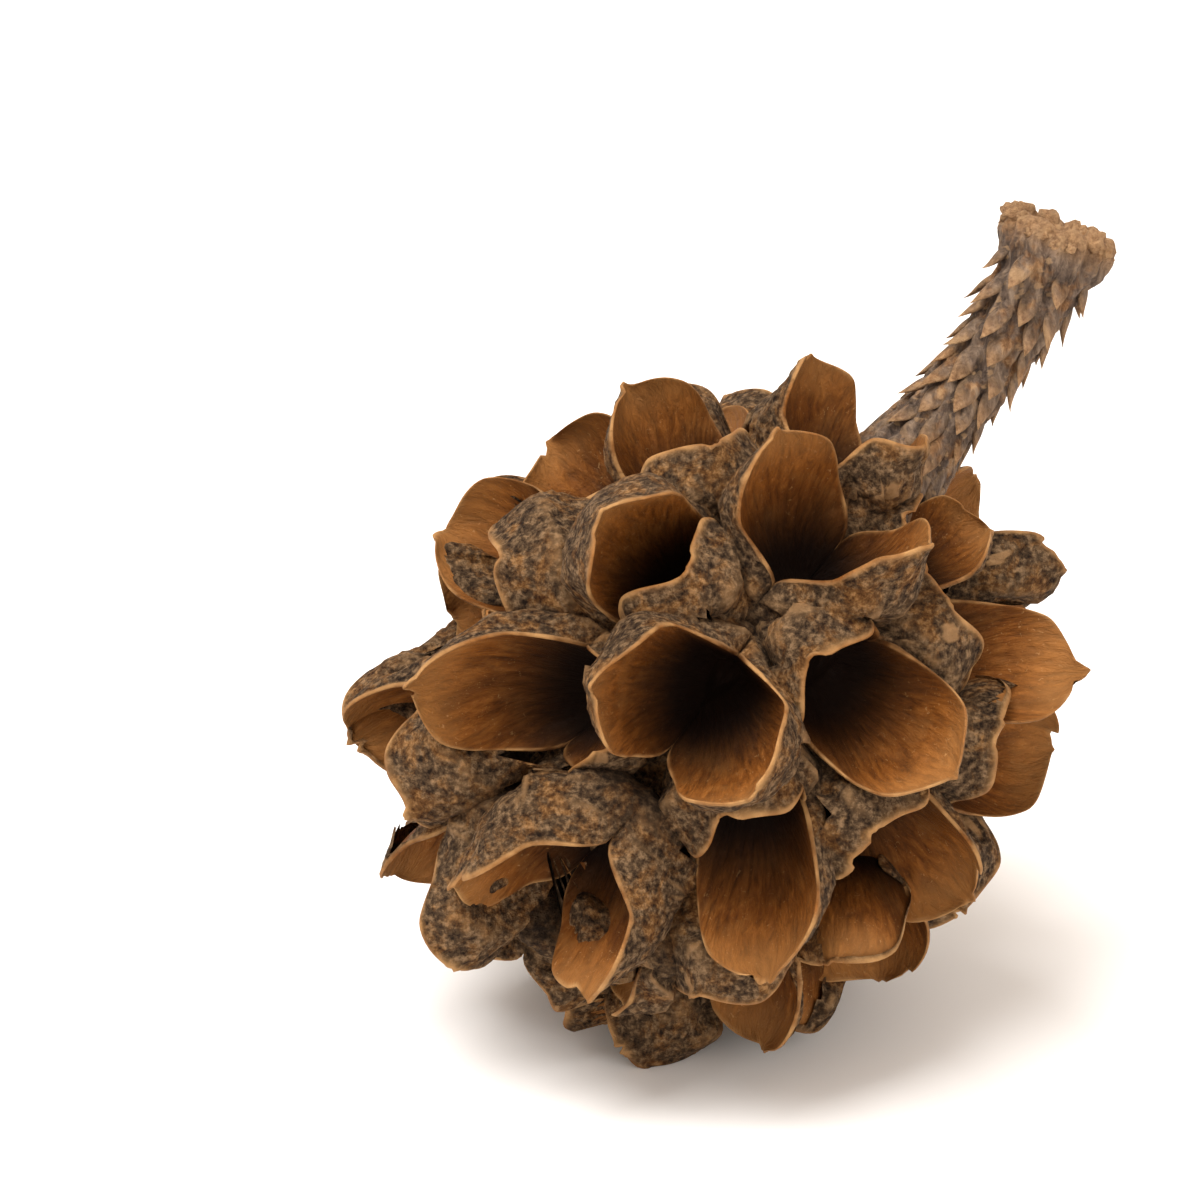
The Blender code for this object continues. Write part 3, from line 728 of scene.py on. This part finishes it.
def plain_marks(rings, inside=0.0, rim=0.0, rise=0.5):
    """The marks of a loft that has no hollow: the same all over unless an array is given."""
    shape = rings.shape[:2]
    values = {"inside": inside, "rim": rim, "rise": rise}
    return {mark: np.broadcast_to(np.asarray(value, float), shape).copy() for mark, value in values.items()}


def plain_grain(rings, shift=0.0):
    """Grain coordinates that follow the rings: round them, and on from ring to ring."""
    turn = np.linspace(0.0, 1.0, rings.shape[1], endpoint=False)
    width = np.linalg.norm(rings - rings.mean(axis=1)[:, None], axis=-1).mean(axis=1)
    gone = np.concatenate([[0.0], np.cumsum(np.linalg.norm(np.diff(rings.mean(axis=1), axis=0), axis=1))])
    around = turn[None] * 2.0 * math.pi * width.mean() * np.ones((rings.shape[0], 1))
    return np.stack([around, gone[:, None] * np.ones_like(around), np.full(around.shape, shift)], axis=-1)


def core_sheet(fruits):
    """The head's rough core, as rings from its tip to the neck, clear of the hollows."""
    along, front, across = cone_axes()
    latitude = np.radians(np.linspace(-89.0, 89.0, CORE_RINGS))[:, None, None]
    turn = np.linspace(0.0, 2.0 * math.pi, CORE_COLUMNS, endpoint=False)[None, :, None]
    level = np.cos(latitude) * (np.cos(turn) * front + np.sin(turn) * across)
    lengthwise = np.sin(latitude) * along
    points = HEAD_CENTRE + level * CORE_HALF_WIDTH + lengthwise * CORE_HALF_LENGTH
    lumps = CORE_LUMP * rough(points, 0.7, 4) + CORE_GRAIN * rough(points, 4.0, 2)
    points = points + (level + lengthwise) * lumps[..., None]
    points = sunk(points, fruits, 1.0)
    marks = plain_marks(points, rise=0.3)
    marks["cut"] = in_hollows(points, shown_of(fruits), None, 0.0).astype(float)
    return points, marks, plain_grain(points)


def stalk_line(share):
    """The stalk's middle line, a curve from the neck to the broken end, and straight on below it."""
    along, _, _ = cone_axes()
    start = HEAD_CENTRE + along * (NECK_REACH + STALK_GAP)
    if share < 0.0:
        return start + along * share * 3.0 * STALK_LIFT
    a, b, c, d = start, start + along * STALK_LIFT, start + STALK_BEND, start + STALK_END
    rest = 1.0 - share
    return a * rest**3 + b * 3 * rest**2 * share + c * 3 * rest * share**2 + d * share**3


def stalk_radius(share):
    if share < 0.0:
        return STALK_RADII[0][1] - 2.6 * share
    for (s0, r0), (s1, r1) in zip(STALK_RADII, STALK_RADII[1:]):
        if share <= s1:
            return r0 + (r1 - r0) * float(smooth(s0, s1, share))
    return STALK_RADII[-1][1]


def stalk_frame(share):
    """The point, the direction along the stalk and two directions across it."""
    step = 0.01
    ahead = unit(stalk_line(min(1.0, share + step)) - stalk_line(share - step))
    side = unit(np.cross(ahead, np.array([0.0, 1.0, 0.0])))
    return stalk_line(share), ahead, side, np.cross(ahead, side)


def stalk_sheet():
    """The fissured stalk, from inside the neck to its torn end, whose middle is sunk."""
    turn = np.linspace(0.0, 2.0 * math.pi, STALK_COLUMNS, endpoint=False)
    rings = []
    for share in np.linspace(STALK_BELOW, 1.0, STALK_RINGS):
        point, _, side, over = stalk_frame(share)
        outward = np.cos(turn)[:, None] * side + np.sin(turn)[:, None] * over
        ridges = RIDGE_SHARE * np.cos(STALK_RIDGES * turn + 5.0 * share)
        rings.append(point + outward * (stalk_radius(share) * (1.0 + ridges))[:, None])
    point, ahead, side, over = stalk_frame(1.0)
    outward = np.cos(turn)[:, None] * side + np.sin(turn)[:, None] * over
    torn = np.array([noise.noise(Vector((2.2 * math.cos(a), 2.2 * math.sin(a), 4.0))) for a in turn])
    for inset, lift in TORN_RINGS:
        raised = lift + TORN_LIFT * torn * smooth(0.3, 0.9, inset)
        rings.append(point + outward * inset * stalk_radius(1.0) + ahead * np.asarray(raised)[:, None])
    points = np.array(rings)
    middle = points.mean(axis=1)[:, None]
    outward = (points - middle) / np.linalg.norm(points - middle, axis=-1)[..., None]
    stretched = points * np.array([1.0, 1.0, 0.45])
    lumps = BARK_LUMP * rough(stretched, 1.5, 4) + BARK_GRAIN * rough(stretched, 5.0, 3, 9.0)
    points = points + outward * lumps[..., None]
    near_end = smooth(STALK_RINGS - 15.0, float(STALK_RINGS), np.arange(len(points)))
    torn_end = near_end[:, None] * np.ones((1, STALK_COLUMNS))
    return points, plain_marks(points, rim=0.75 * torn_end, rise=0.6), plain_grain(points, 5.0)


def thorn_sheet(root, heading, outward, length, width, lean, hook, draw):
    """A scale leaf: it rises slowly out of the surface behind it and ends in a hooked point."""
    across = unit(np.cross(heading, outward))
    turn = np.linspace(0.0, 2.0 * math.pi, 10, endpoint=False)
    rings, rims = [], []
    for part in np.linspace(0.0, 1.0, 13):
        rise = math.tan(math.radians(lean)) * length * part**1.6 + hook * max(0.0, part - 0.55) ** 2
        centre = root + heading * length * (1.6 * part - 0.6) + outward * (rise - 0.16 * (1.0 - part))
        half = width * (0.4 + 2.0 * part * (1.0 - part)) * (1.0 - part**5) + 0.012
        flat = 0.55 - 0.1 * part
        level = np.cos(turn)[:, None] * across * half
        rings.append(centre + level + np.sin(turn)[:, None] * outward * half * flat)
        rims.append(np.full(len(turn), float(smooth(0.35, 1.0, part))))
    points = np.array(rings)
    shift = draw.uniform(0.0, 100.0)
    points = points + wander(points, 1.2, shift) * 0.07
    return points, plain_marks(points, rim=np.array(rims) * 0.9, rise=0.6), plain_grain(points, shift)


def tooth_sheets():
    """Whorls of scale leaves up the stalk, pointing back at the head, and drooping ones at its foot."""
    draw = random.Random(SEED + 1)
    sheets = []
    for whorl in range(TOOTH_WHORLS):
        share = TEETH_FROM + TEETH_REACH * whorl / (TOOTH_WHORLS - 1)
        for place in range(TEETH_PER_WHORL):
            about = place + 0.5 * (whorl % 2) + 0.12 * draw.uniform(-1.0, 1.0)
            turn = 2.0 * math.pi * about / TEETH_PER_WHORL
            spot = share + 0.012 * draw.uniform(-1.0, 1.0)
            length = TOOTH_LENGTH * draw.uniform(*TOOTH_SHARES)
            width, lean = draw.uniform(*TOOTH_WIDTHS), draw.uniform(LEAST_TOOTH_LEAN, TOOTH_LEAN)
            sheets.append(leaf_at(spot, turn, length, width, lean, draw))
    for whorl in range(FOOT_WHORLS):
        for place in range(LEAVES_PER_FOOT_WHORL):
            about = place + 0.5 * (whorl % 2) + 0.3 * draw.uniform(-1.0, 1.0)
            turn = 2.0 * math.pi * about / LEAVES_PER_FOOT_WHORL
            spot = -0.2 + 0.1 * whorl + 0.02 * draw.uniform(-1.0, 1.0)
            length, lean = draw.uniform(*FOOT_LEAF_LENGTHS), draw.uniform(*FOOT_LEAF_LEANS)
            sheets.append(leaf_at(spot, turn, length, FOOT_LEAF_WIDTH, lean, draw))
    return sheets


def leaf_at(share, turn, length, width, lean, draw):
    point, ahead, side, over = stalk_frame(share)
    outward = math.cos(turn) * side + math.sin(turn) * over
    root = point + outward * stalk_radius(share)
    return thorn_sheet(root, -ahead, outward, length, width, lean, draw.uniform(0.1, 0.6), draw)


def ball_sheet(centre, radii, shift, lump=0.25, rim=0.8):
    """A lumpy ball, as rings."""
    latitude = np.radians(np.linspace(-88.0, 88.0, 14))[:, None]
    turn = np.linspace(0.0, 2.0 * math.pi, 20, endpoint=False)[None]
    level, high = np.cos(latitude), np.sin(latitude) * np.ones_like(turn)
    outward = np.stack([level * np.cos(turn), level * np.sin(turn), high], axis=-1)
    points = centre + outward * np.asarray(radii)
    size = float(np.mean(radii))
    points = points + outward * (lump * size * rough(points, 1.2 / size, 3, shift))[..., None]
    return points, plain_marks(points, rim=rim, rise=0.6), plain_grain(points, shift)


def torn_sheets():
    """The knobs and splinters of the torn rim at the stalk's end."""
    draw = random.Random(SEED + 2)
    point, ahead, side, over = stalk_frame(1.0)
    sheets = []
    for place in range(2 * KNOBS):
        turn = math.pi * (place + 0.3 * draw.uniform(-1.0, 1.0)) / KNOBS
        outward = math.cos(turn) * side + math.sin(turn) * over
        size = KNOB_RADIUS * draw.uniform(0.45, 0.95)
        reach = STALK_RADII[-1][1] * draw.uniform(0.84, 0.98)
        centre = point + outward * reach + ahead * draw.uniform(-0.35, 0.12)
        sheets.append(ball_sheet(centre, (size, size, 0.75 * size), draw.uniform(0.0, 100.0), 0.55))
    return sheets


class Shader:
    """A material's nodes, added and wired by short calls."""

    def __init__(self, name):
        self.material = bpy.data.materials.new(name)
        self.material.use_nodes = True
        self.tree = self.material.node_tree
        self.surface = self.tree.nodes["Principled BSDF"]

    def node(self, kind, **settings):
        made = self.tree.nodes.new(kind)
        for name, value in settings.items():
            setattr(made, name, value)
        return made

    def put(self, socket, value):
        """Wires a node's output into a socket, or sets the socket to a plain value."""
        if isinstance(value, bpy.types.NodeSocket):
            self.tree.links.new(value, socket)
        else:
            socket.default_value = value

    def mark(self, name):
        return self.node("ShaderNodeAttribute", attribute_name=name).outputs["Fac"]

    def grain(self, scale):
        """The grain coordinates, each multiplied."""
        source = self.node("ShaderNodeAttribute", attribute_name="grain")
        return self.vector("MULTIPLY", source.outputs["Vector"], scale)

    def place(self):
        """The point on the piece, in millimetres."""
        source = self.node("ShaderNodeTexCoord").outputs["Object"]
        return self.vector("MULTIPLY", source, (1000.0, 1000.0, 1000.0))

    def vector(self, operation, a, b):
        made = self.node("ShaderNodeVectorMath", operation=operation)
        self.put(made.inputs[0], a)
        self.put(made.inputs[1], b)
        return made.outputs["Vector"]

    def maths(self, operation, a, b=0.0, c=0.0):
        made = self.node("ShaderNodeMath", operation=operation)
        for socket, value in zip(made.inputs, (a, b, c)):
            self.put(socket, value)
        return made.outputs["Value"]

    def noise(self, vector, scale, detail=4.0, roughness=0.6, distortion=0.0):
        made = self.node("ShaderNodeTexNoise")
        self.put(made.inputs["Vector"], vector)
        settings = {"Scale": scale, "Detail": detail, "Roughness": roughness, "Distortion": distortion}
        for name, value in settings.items():
            made.inputs[name].default_value = value
        return made.outputs["Fac"]

    def step(self, value, low, high, to_low=0.0, to_high=1.0):
        """A soft step of a value, clamped."""
        made = self.node("ShaderNodeMapRange", interpolation_type="SMOOTHSTEP")
        names = ("Value", "From Min", "From Max", "To Min", "To Max")
        for name, part in zip(names, (value, low, high, to_low, to_high)):
            self.put(made.inputs[name], part)
        return made.outputs["Result"]

    def mix(self, share, a, b, blend="MIX"):
        """Two colours mixed, or one blended over the other."""
        made = self.node("ShaderNodeMix", data_type="RGBA", blend_type=blend)
        self.put(made.inputs[0], share)
        for socket, value in ((made.inputs[6], a), (made.inputs[7], b)):
            self.put(socket, (*value, 1.0) if isinstance(value, tuple) else value)
        return made.outputs[2]

    def ramp(self, value, stops):
        made = self.node("ShaderNodeValToRGB")
        self.put(made.inputs["Fac"], value)
        band = made.color_ramp
        while len(band.elements) < len(stops):
            band.elements.new(0.5)
        for element, (position, colour) in zip(band.elements, stops):
            element.position = position
            element.color = (*colour, 1.0)
        return made.outputs["Color"]

    def bump(self, height, strength, reach):
        made = self.node("ShaderNodeBump")
        made.inputs["Strength"].default_value = strength
        made.inputs["Distance"].default_value = reach * MM
        self.put(made.inputs["Height"], height)
        return made.outputs["Normal"]


def valve_faces(s, spot, rise):
    """Orange-brown fibres with veins and flecks, and painted shade that turns the face black deep in the
    mouth. Returns the colour and a relief.
    """
    fibres = s.noise(s.grain((9.0, 1.3, 1.0)), 1.0, 6.0, 0.7, 0.4)
    veins = s.noise(s.grain((2.4, 0.35, 1.0)), 1.0, 3.0, 0.5, 0.6)
    mottle = s.noise(spot, 0.9, 4.0, 0.6)
    flecks = s.noise(s.vector("MULTIPLY", spot, (7.0, 7.0, 7.0)), 1.0, 3.0, 0.7, 1.2)
    face = s.ramp(fibres, FACE_STOPS)
    face = s.mix(s.step(veins, 0.48, 0.72, 0.0, 0.65), face, VEIN_BROWN)
    face = s.mix(s.step(mottle, 0.48, 0.75, 0.0, 0.5), face, MOTTLE_TAN)
    face = s.mix(s.step(flecks, 0.62, 0.72, 0.0, 0.7), face, FLECK_TAN)
    face = s.mix(s.step(rise, 0.6, 1.0, 0.0, 0.5), face, NEAR_RIM_TAN)
    # Painted shade: the hollow's face darkens to near black the deeper it lies in the mouth
    face = s.mix(s.step(rise, 0.13, 0.84, 0.99, 0.0), face, MOUTH_PAINTED_SHADE)
    relief = s.maths("ADD", s.maths("MULTIPLY", fibres, 0.5), s.maths("MULTIPLY", veins, 0.25))
    return face, relief


def valve_backs(s, spot, rise, grit):
    """Granular grey-brown crust with rusty patches, worn edges and painted shade in the creases low down.
    """
    patch = s.noise(spot, 1.0, 5.0, 0.7, 0.5)
    back = s.mix(s.step(patch, 0.46, 0.64, 0.0, 0.8), s.ramp(grit, CRUST_STOPS), s.ramp(grit, RUST_STOPS))
    edge = s.node("ShaderNodeNewGeometry").outputs["Pointiness"]
    back = s.mix(s.step(edge, 0.51, 0.58, 0.0, 0.7), back, EDGE_TAN)
    # Painted shade: the backs darken to near black low down, where they sink between the fruits into the
    # core
    return s.mix(s.step(rise, 0.0, 0.3, 0.7, 0.0), back, CREASE_PAINTED_SHADE)


def cone_wood():
    """Orange-brown fibrous valves with pale rims, on grey-brown granular backs."""
    s = Shader("cone_wood")
    spot = s.place()
    inside, rim, rise = s.mark("inside"), s.mark("rim"), s.mark("rise")
    grit = s.noise(spot, 4.6, 6.0, 0.68, 0.15)
    face, fibrous = valve_faces(s, spot, rise)
    back = valve_backs(s, spot, rise, grit)

    lip_noise = s.noise(spot, 1.1, 2.0, 0.5)
    pale = s.maths("MULTIPLY", rim, s.step(lip_noise, 0.3, 0.65, 0.25, 0.85))
    colour = s.mix(s.step(inside, 0.2, 0.8), back, face)
    colour = s.mix(pale, colour, s.ramp(lip_noise, LIP_STOPS))
    s.put(s.surface.inputs["Base Color"], colour)

    smoother = s.maths("MULTIPLY", inside, -0.27)
    s.put(s.surface.inputs["Roughness"], s.maths("ADD", smoother, s.step(grit, 0.3, 0.7, 0.88, 0.78)))
    s.surface.inputs["Specular IOR Level"].default_value = 0.12
    outside = s.maths("SUBTRACT", 1.0, inside)
    granular = s.maths("MULTIPLY", outside, s.noise(spot, 4.0, 6.0, 0.7))
    height = s.maths("ADD", granular, s.maths("MULTIPLY", inside, fibrous))
    s.put(s.surface.inputs["Normal"], s.bump(height, 1.0, 0.3))
    return s.material


def stalk_bark():
    """Grey-brown fissured bark with orange-brown points and torn fibres."""
    s = Shader("stalk_bark")
    spot = s.place()
    strands = s.noise(s.vector("MULTIPLY", spot, (3.4, 3.4, 1.1)), 1.0, 6.0, 0.7, 0.5)
    grit = s.noise(spot, 6.0, 5.0, 0.7)
    patch = s.noise(spot, 1.2, 3.0, 0.6)
    colour = s.mix(s.step(patch, 0.5, 0.66), s.ramp(strands, BARK_STOPS), s.ramp(strands, WARM_STOPS))
    colour = s.mix(s.mark("rim"), colour, s.ramp(grit, POINT_STOPS))
    edge = s.node("ShaderNodeNewGeometry").outputs["Pointiness"]
    colour = s.mix(s.step(edge, 0.52, 0.62, 0.0, 0.55), colour, BARK_EDGE_TAN)
    s.put(s.surface.inputs["Base Color"], colour)
    s.surface.inputs["Roughness"].default_value = 0.85
    s.surface.inputs["Specular IOR Level"].default_value = 0.3
    height = s.maths("ADD", strands, s.maths("MULTIPLY", grit, 0.4))
    s.put(s.surface.inputs["Normal"], s.bump(height, 1.0, 0.25))
    return s.material


def band_of(fruit):
    """The piece that a fruit belongs to, by its whorl."""
    if fruit["whorl"] < -1:
        return "valves_low"
    return "valves_middle" if fruit["whorl"] < 1 else "valves_high"


def build_cone():
    """The dressed pieces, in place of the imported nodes."""
    wood, bark = cone_wood(), stalk_bark()
    draw = random.Random(SEED + 3)
    bands = {"valves_low": [], "valves_middle": [], "valves_high": []}
    fruits = fruit_places()
    for fruit in fruits:
        bands[band_of(fruit)].append(fruit_sheet(fruit, fruits, draw))
    for name, sheets in bands.items():
        piece = sheets_object(name, sheets, wood)
        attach(piece, "root")
        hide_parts("cone_head")
    core = sheets_object("core", [core_sheet(fruits)], wood)
    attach(core, "root")
    stalk = sheets_object("stalk_wood", [stalk_sheet()] + tooth_sheets() + torn_sheets(), bark)
    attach(stalk, "root")
    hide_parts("stalk")


def build_floor():
    """The pale floor that the cone lies on."""
    bpy.ops.mesh.primitive_plane_add(size=3.0, location=(0.0, 0.0, 0.0))
    floor = bpy.context.object
    floor.name = "floor"
    s = Shader("pale_floor")
    s.surface.inputs["Base Color"].default_value = (0.9, 0.89, 0.88, 1.0)
    s.surface.inputs["Roughness"].default_value = 0.9
    floor.data.materials.append(s.material)


def add_lamp(name, place, width, energy, aim):
    """A soft square lamp at a place, turned to what it lights."""
    lamp = bpy.data.lights.new(name, "AREA")
    lamp.shape = "SQUARE"
    lamp.size = width * MM
    lamp.energy = energy
    made = bpy.data.objects.new(name, lamp)
    made.location = Vector(place) * MM
    made.rotation_euler = (Vector(aim) * MM - made.location).to_track_quat("-Z", "Y").to_euler()
    bpy.context.scene.collection.objects.link(made)


def build_light():
    world = bpy.data.worlds.new("studio")
    world.use_nodes = True
    background = world.node_tree.nodes["Background"]
    background.inputs["Color"].default_value = (1.0, 0.885, 0.78, 1.0)
    background.inputs["Strength"].default_value = 1.02
    bpy.context.scene.world = world
    add_lamp("key", (-80.0, -60.0, 290.0), 200.0, 1.25, (0.0, 0.0, 8.0))
    add_lamp("fill", (150.0, -220.0, 120.0), 160.0, 0.2, (0.0, 0.0, 8.0))
    view = bpy.context.scene.view_settings
    view.view_transform = "Standard"
    view.look = "None"
    view.exposure = 0.0


def build_camera():
    """The camera, looking down at the cone from where the picture was taken."""
    rise = math.radians(CAMERA_RISE)
    right = np.array([1.0, 0.0, 0.0])
    up = np.array([0.0, math.sin(rise), math.cos(rise)])
    back = np.array([0.0, -math.cos(rise), math.sin(rise)])
    target = HEAD_CENTRE - right * HEAD_RIGHT_OF_MIDDLE + up * HEAD_BELOW_MIDDLE
    camera = bpy.data.cameras.new("camera")
    camera.sensor_width = SENSOR
    camera.lens = SENSOR * CAMERA_DISTANCE / VIEW_WIDTH
    camera.clip_start = 0.01
    camera.clip_end = 10.0
    made = bpy.data.objects.new("camera", camera)
    made.location = Vector(target + back * CAMERA_DISTANCE) * MM
    made.rotation_euler = (math.radians(90.0 - CAMERA_RISE), 0.0, 0.0)
    bpy.context.scene.collection.objects.link(made)
    bpy.context.scene.camera = made


def main():
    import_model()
    # Vector noise differs from run to run unless it is seeded
    noise.seed_set(SEED)
    build_camera()
    build_cone()
    build_floor()
    build_light()
    bpy.context.view_layer.update()


main()
